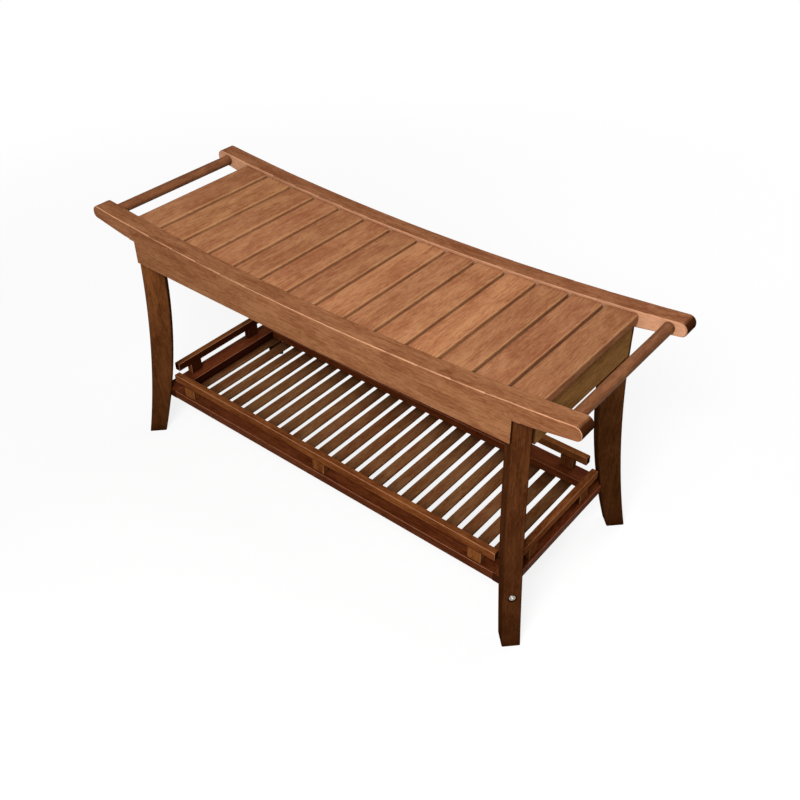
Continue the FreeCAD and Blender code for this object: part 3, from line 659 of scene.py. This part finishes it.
@dataclass
class Shelf(SubAssembly):
    """Shelf frame with its slats and the low gallery round it."""

    # The board tones that this number picks were chosen to paint some of the light and shade on the bars
    # and gallery.
    next_number: int = 7632
    slat_count: int = 24
    slat_gap: float = 10.6 * MM
    shade_long: float = 0.15         # how much painted shade darkens the inner sides of the long pieces
    shade_ends: float = 0.9          # the same on the pieces at the ends

    def build(self) -> None:
        """Dress the slats, the bars, the gallery and the bearers."""
        low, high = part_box("shelf_slats")
        pitch = (high.x - low.x + self.slat_gap) / self.slat_count
        self.dress(["shelf_slats"], SHELF_TEAK_SHADED, "slats", Lay(Fibres.ACROSS_BENCH, pitch=pitch))
        long_lay = Lay(Fibres.ALONG_BENCH, shade_inside=self.shade_long)
        end_lay = Lay(Fibres.ACROSS_BENCH, shade_inside=self.shade_ends)
        self.dress([f"{side}_shelf_bar" for side in SIDES], BAR_TEAK_SHADED, "long_bars", long_lay)
        self.dress([f"{end}_shelf_bar" for end in ENDS], BAR_TEAK_SHADED, "end_bars", end_lay)
        self.dress([f"{side}_gallery_rail" for side in SIDES], GALLERY_TEAK, "gallery", long_lay)
        self.dress([f"{end}_gallery_rail" for end in ENDS], GALLERY_TEAK, "end_gallery", end_lay)
        post_lay = Lay(Fibres.UPRIGHT)
        end_post_lay = Lay(Fibres.UPRIGHT, shade_inside=self.shade_ends)
        self.dress([f"{side}_gallery_posts" for side in SIDES], POST_TEAK, "posts", post_lay)
        self.dress([f"{end}_gallery_posts" for end in ENDS], POST_TEAK, "end_posts", end_post_lay)
        bearers = [f"{side}_shelf_bearer" for side in SIDES]
        self.dress(bearers, INNER_TEAK, "bearers", Lay(Fibres.ALONG_BENCH))
        self.dress(["end_shelf_bearers"], INNER_TEAK, "end_bearers", Lay(Fibres.ACROSS_BENCH))


@dataclass
class Fastenings(SubAssembly):
    """Screws, bolts, washers and nuts."""

    nodes: tuple[str, ...] = (
        "front_seat_screws", "rear_seat_screws", "cleat_screws", "bearer_screws", "shelf_slat_screws",
        "gallery_screws", "hanger_bolts", "hanger_washers", "hanger_nuts", "shelf_bolts",
        "shelf_barrel_nuts",
    )

    def build(self) -> None:
        """Dress every fastener in zinc."""
        material = ZINC.material()
        for node in self.nodes:
            self.coat(node, material)


@dataclass(frozen=True)
class Softbox:
    """Square lamp with a soft even face."""

    name: str
    place: Place
    side: float
    watts: float


@dataclass
class Studio:
    """Pale floor, white surroundings, soft lamps and the camera."""

    floor_size: float = 40.0
    floor_colour: str = "#BEBEBE"
    floor_drop: float = 0.4 * MM
    shadow_share: float = 0.16      # part of what the camera sees of the floor that takes shadow
    shadow_near: float = 0.7        # distance from the bench's middle at which the shadow starts to fade
    shadow_far: float = 1.8         # distance at which it is gone
    ambient: float = 0.1            # light of the surroundings on the bench
    key: Softbox = Softbox("key_softbox", (0.72, -1.55, 1.72), 0.8, 58.0)
    rear: Softbox = Softbox("rear_softbox", (0.35, 1.7, 1.6), 1.1, 22.0)
    aim: Place = (0.0, 0.0, 0.25)   # what the lamps face
    camera_place: Place = (0.82974, -0.95465, 1.15506)
    camera_azimuth: float = 38.833
    camera_elevation: float = 38.298
    camera_roll: float = -0.188
    focal_pixels: float = 967.16
    sensor_mm: float = 36.0

    def build(self) -> None:
        """Set up the whole studio."""
        self._floor()
        self._world()
        self._lamp(self.key)
        self._lamp(self.rear)
        self._camera()
        bpy.context.scene.view_settings.view_transform = "Standard"

    def _seen(self, tree: Tree) -> Socket:
        """Find rays that see the white surroundings: from the camera, off gloss and through clear things.

        Args:
            tree: tree that asks.
        Returns:
            1 for those rays, else 0.
        """
        path = add(tree, "LightPath").outputs
        seen = path["Is Camera Ray"]
        for ray in ("Is Glossy Ray", "Is Transmission Ray"):
            seen = add(tree, "Math", {0: seen, 1: path[ray]}, operation="MAXIMUM").outputs[0]
        return seen

    def _floor(self) -> None:
        """Lay the floor: pale and matt, and white to the camera but for the shadow of the bench."""
        half = self.floor_size / 2
        mesh = bpy.data.meshes.new("floor")
        outline = ((-half, -half), (half, -half), (half, half), (-half, half))
        corners = [(x, y, -self.floor_drop) for x, y in outline]
        mesh.from_pydata(corners, [], [(0, 1, 2, 3)])
        floor = bpy.data.objects.new("floor", mesh)
        bpy.context.scene.collection.objects.link(floor)
        material, tree = new_material("pale_matt_floor")
        matt = add(tree, "BsdfDiffuse", {"Color": linear(self.floor_colour)}).outputs[0]
        white = add(tree, "Emission", {"Color": WHITE, "Strength": 1.0}).outputs[0]
        shaded = add(tree, "BsdfDiffuse", {"Color": WHITE}).outputs[0]
        place = add(tree, "TexCoord").outputs["Object"]
        reach = add(tree, "VectorMath", {0: place}, operation="LENGTH").outputs["Value"]
        fade = {0: reach, 1: self.shadow_near, 2: self.shadow_far, 3: self.shadow_share, 4: 0.0}
        share = add(tree, "MapRange", fade).outputs[0]
        shown = add(tree, "MixShader", {0: share, 1: white, 2: shaded}).outputs[0]
        surface = add(tree, "MixShader", {0: self._seen(tree), 1: matt, 2: shown}).outputs[0]
        add(tree, "OutputMaterial", {"Surface": surface})
        mesh.materials.append(material)

    def _world(self) -> None:
        """Surround the studio with soft light that looks white."""
        world = bpy.data.worlds.new("studio")
        world.use_nodes = True
        tree = world.node_tree
        tree.nodes.clear()
        level = add(tree, "MapRange", {0: self._seen(tree), 3: self.ambient, 4: 1.0}).outputs[0]
        light = add(tree, "Background", {"Color": WHITE, "Strength": level}).outputs[0]
        add(tree, "OutputWorld", {"Surface": light})
        bpy.context.scene.world = world

    def _lamp(self, softbox: Softbox) -> None:
        """Hang a softbox so that it faces the bench.

        Args:
            softbox: lamp to hang.
        """
        lamp = bpy.data.lights.new(softbox.name, "AREA")
        lamp.shape = "SQUARE"
        lamp.size = softbox.side
        lamp.energy = softbox.watts
        holder = bpy.data.objects.new(softbox.name, lamp)
        holder.location = softbox.place
        view = Vector(self.aim) - Vector(softbox.place)
        holder.rotation_euler = view.to_track_quat("-Z", "Y").to_euler()
        bpy.context.scene.collection.objects.link(holder)

    def _camera(self) -> None:
        """Put the camera where the picture was taken from."""
        lens = bpy.data.cameras.new("camera")
        lens.sensor_width = self.sensor_mm
        lens.lens = self.focal_pixels / PHOTO_PIXELS * self.sensor_mm
        holder = bpy.data.objects.new("camera", lens)
        holder.location = self.camera_place
        tilt = math.radians(90 - self.camera_elevation)
        level = Euler((tilt, 0.0, math.radians(self.camera_azimuth))).to_quaternion()
        roll = Quaternion((0.0, 0.0, 1.0), math.radians(self.camera_roll))
        holder.rotation_euler = (level @ roll).to_euler()
        bpy.context.scene.collection.objects.link(holder)
        bpy.context.scene.camera = holder


def main() -> None:
    """Dress the bench and set up the studio."""
    logging.basicConfig(level=logging.INFO, format="%(name)s: %(message)s")
    for assembly in (SeatDeck(), SeatFrame(), LegSet(), Shelf(), Fastenings(), Studio()):
        LOG.info("building %s", type(assembly).__name__)
        assembly.build()


if __name__ == "__main__":
    main()
